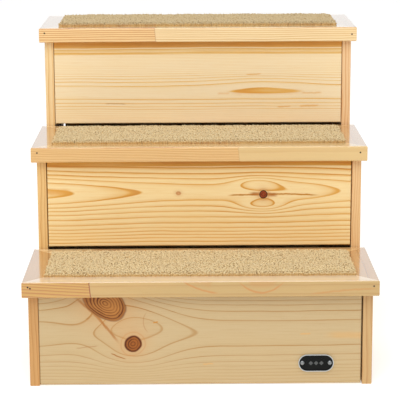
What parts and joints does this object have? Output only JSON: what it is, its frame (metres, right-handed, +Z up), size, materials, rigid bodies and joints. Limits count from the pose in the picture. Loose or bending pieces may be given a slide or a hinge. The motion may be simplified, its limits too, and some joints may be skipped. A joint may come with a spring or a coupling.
{
  "type": "pet stairs",
  "caption": "Pine stair block with carpet let into mitred tread frames, closed risers, upright side boards, a closed back and a small badge, for a small animal to climb.",
  "frame": {"origin": "on the floor under the middle of the block", "axes": "+X to the right of someone facing the steps, +Y the way the steps climb, +Z up"},
  "size_m": [0.4, 0.45, 0.3805],
  "materials": {
    "pine_board": "planed knotty pine under clear satin lacquer",
    "pine_rail": "finger-jointed pine under clear gloss lacquer",
    "plywood": "plain sanded plywood",
    "pine_batten": "sawn and planed pine, no lacquer",
    "carpet": "beige cut pile",
    "brad_steel": "bright wire, dulled in its hole",
    "screw_zinc": "yellow zinc plate",
    "badge_black": "black enamel, worn light on its rim",
    "badge_nail_steel": "dull nickel"
  },
  "bodies": {
    "root": {"back_board_screws": "screw_zinc", "badge_nails": "badge_nail_steel", "badge_plate": "badge_black", "batten_screws": "screw_zinc", "bottom_carpet": "carpet", "bottom_riser": "pine_board", "bottom_riser_batten_left": "pine_batten", "bottom_riser_batten_right": "pine_batten", "bottom_tread_back_rail": "pine_rail", "bottom_tread_cleat_left": "pine_batten", "bottom_tread_cleat_right": "pine_batten", "bottom_tread_front_rail": "pine_rail", "bottom_tread_left_rail": "pine_rail", "bottom_tread_panel": "plywood", "bottom_tread_right_rail": "pine_rail", "cleat_screws": "screw_zinc", "floor_batten_left": "pine_batten", "floor_batten_right": "pine_batten", "left_side_board_front": "pine_board", "left_side_board_middle": "pine_board", "left_side_board_rear": "pine_board", "lower_back_block_left": "pine_batten", "lower_back_block_right": "pine_batten", "lower_back_board": "pine_board", "middle_back_block_left": "pine_batten", "middle_back_block_right": "pine_batten", "middle_back_board": "pine_board", "middle_carpet": "carpet", "middle_riser": "pine_board", "middle_riser_batten_left": "pine_batten", "middle_riser_batten_right": "pine_batten", "middle_tread_back_rail": "pine_rail", "middle_tread_cleat_left": "pine_batten", "middle_tread_cleat_right": "pine_batten", "middle_tread_front_rail": "pine_rail", "middle_tread_left_rail": "pine_rail", "middle_tread_panel": "plywood", "middle_tread_right_rail": "pine_rail", "rail_brads": "brad_steel", "right_side_board_front": "pine_board", "right_side_board_middle": "pine_board", "right_side_board_rear": "pine_board", "riser_screws": "screw_zinc", "top_carpet": "carpet", "top_riser": "pine_board", "top_riser_batten_left": "pine_batten", "top_riser_batten_right": "pine_batten", "top_tread_back_rail": "pine_rail", "top_tread_cleat_left": "pine_batten", "top_tread_cleat_right": "pine_batten", "top_tread_front_rail": "pine_rail", "top_tread_left_rail": "pine_rail", "top_tread_panel": "plywood", "top_tread_right_rail": "pine_rail", "tread_screws": "screw_zinc", "upper_back_block_left": "pine_batten", "upper_back_block_right": "pine_batten", "upper_back_board": "pine_board"}
  },
  "joints": []
}
